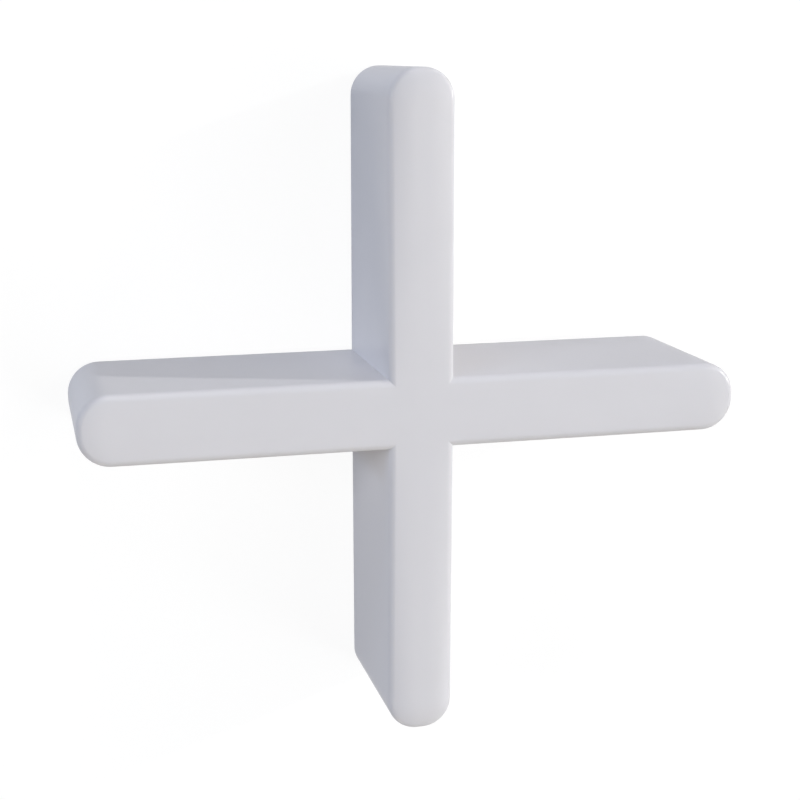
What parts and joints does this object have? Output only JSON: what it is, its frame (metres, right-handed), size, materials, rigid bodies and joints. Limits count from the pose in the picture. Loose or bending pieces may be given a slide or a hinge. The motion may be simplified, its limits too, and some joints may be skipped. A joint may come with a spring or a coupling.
{
  "type": "tile spacer",
  "caption": "Cross-shaped moulded plastic spacer with stubby round-tipped arms that keep an even joint between neighbouring tiles.",
  "frame": {"origin": "centre of the back face, on which the spacer lies", "axes": "+Z through the thickness, from the back face to the front face; +X along the arms that point right in the picture, +Y along the arms that point up in the picture"},
  "size_m": [0.019, 0.019, 0.005],
  "materials": {
    "moulded_plastic": "white moulded plastic with a soft satin skin"
  },
  "bodies": {
    "root": {"cross_spacer": "moulded_plastic"}
  },
  "joints": []
}
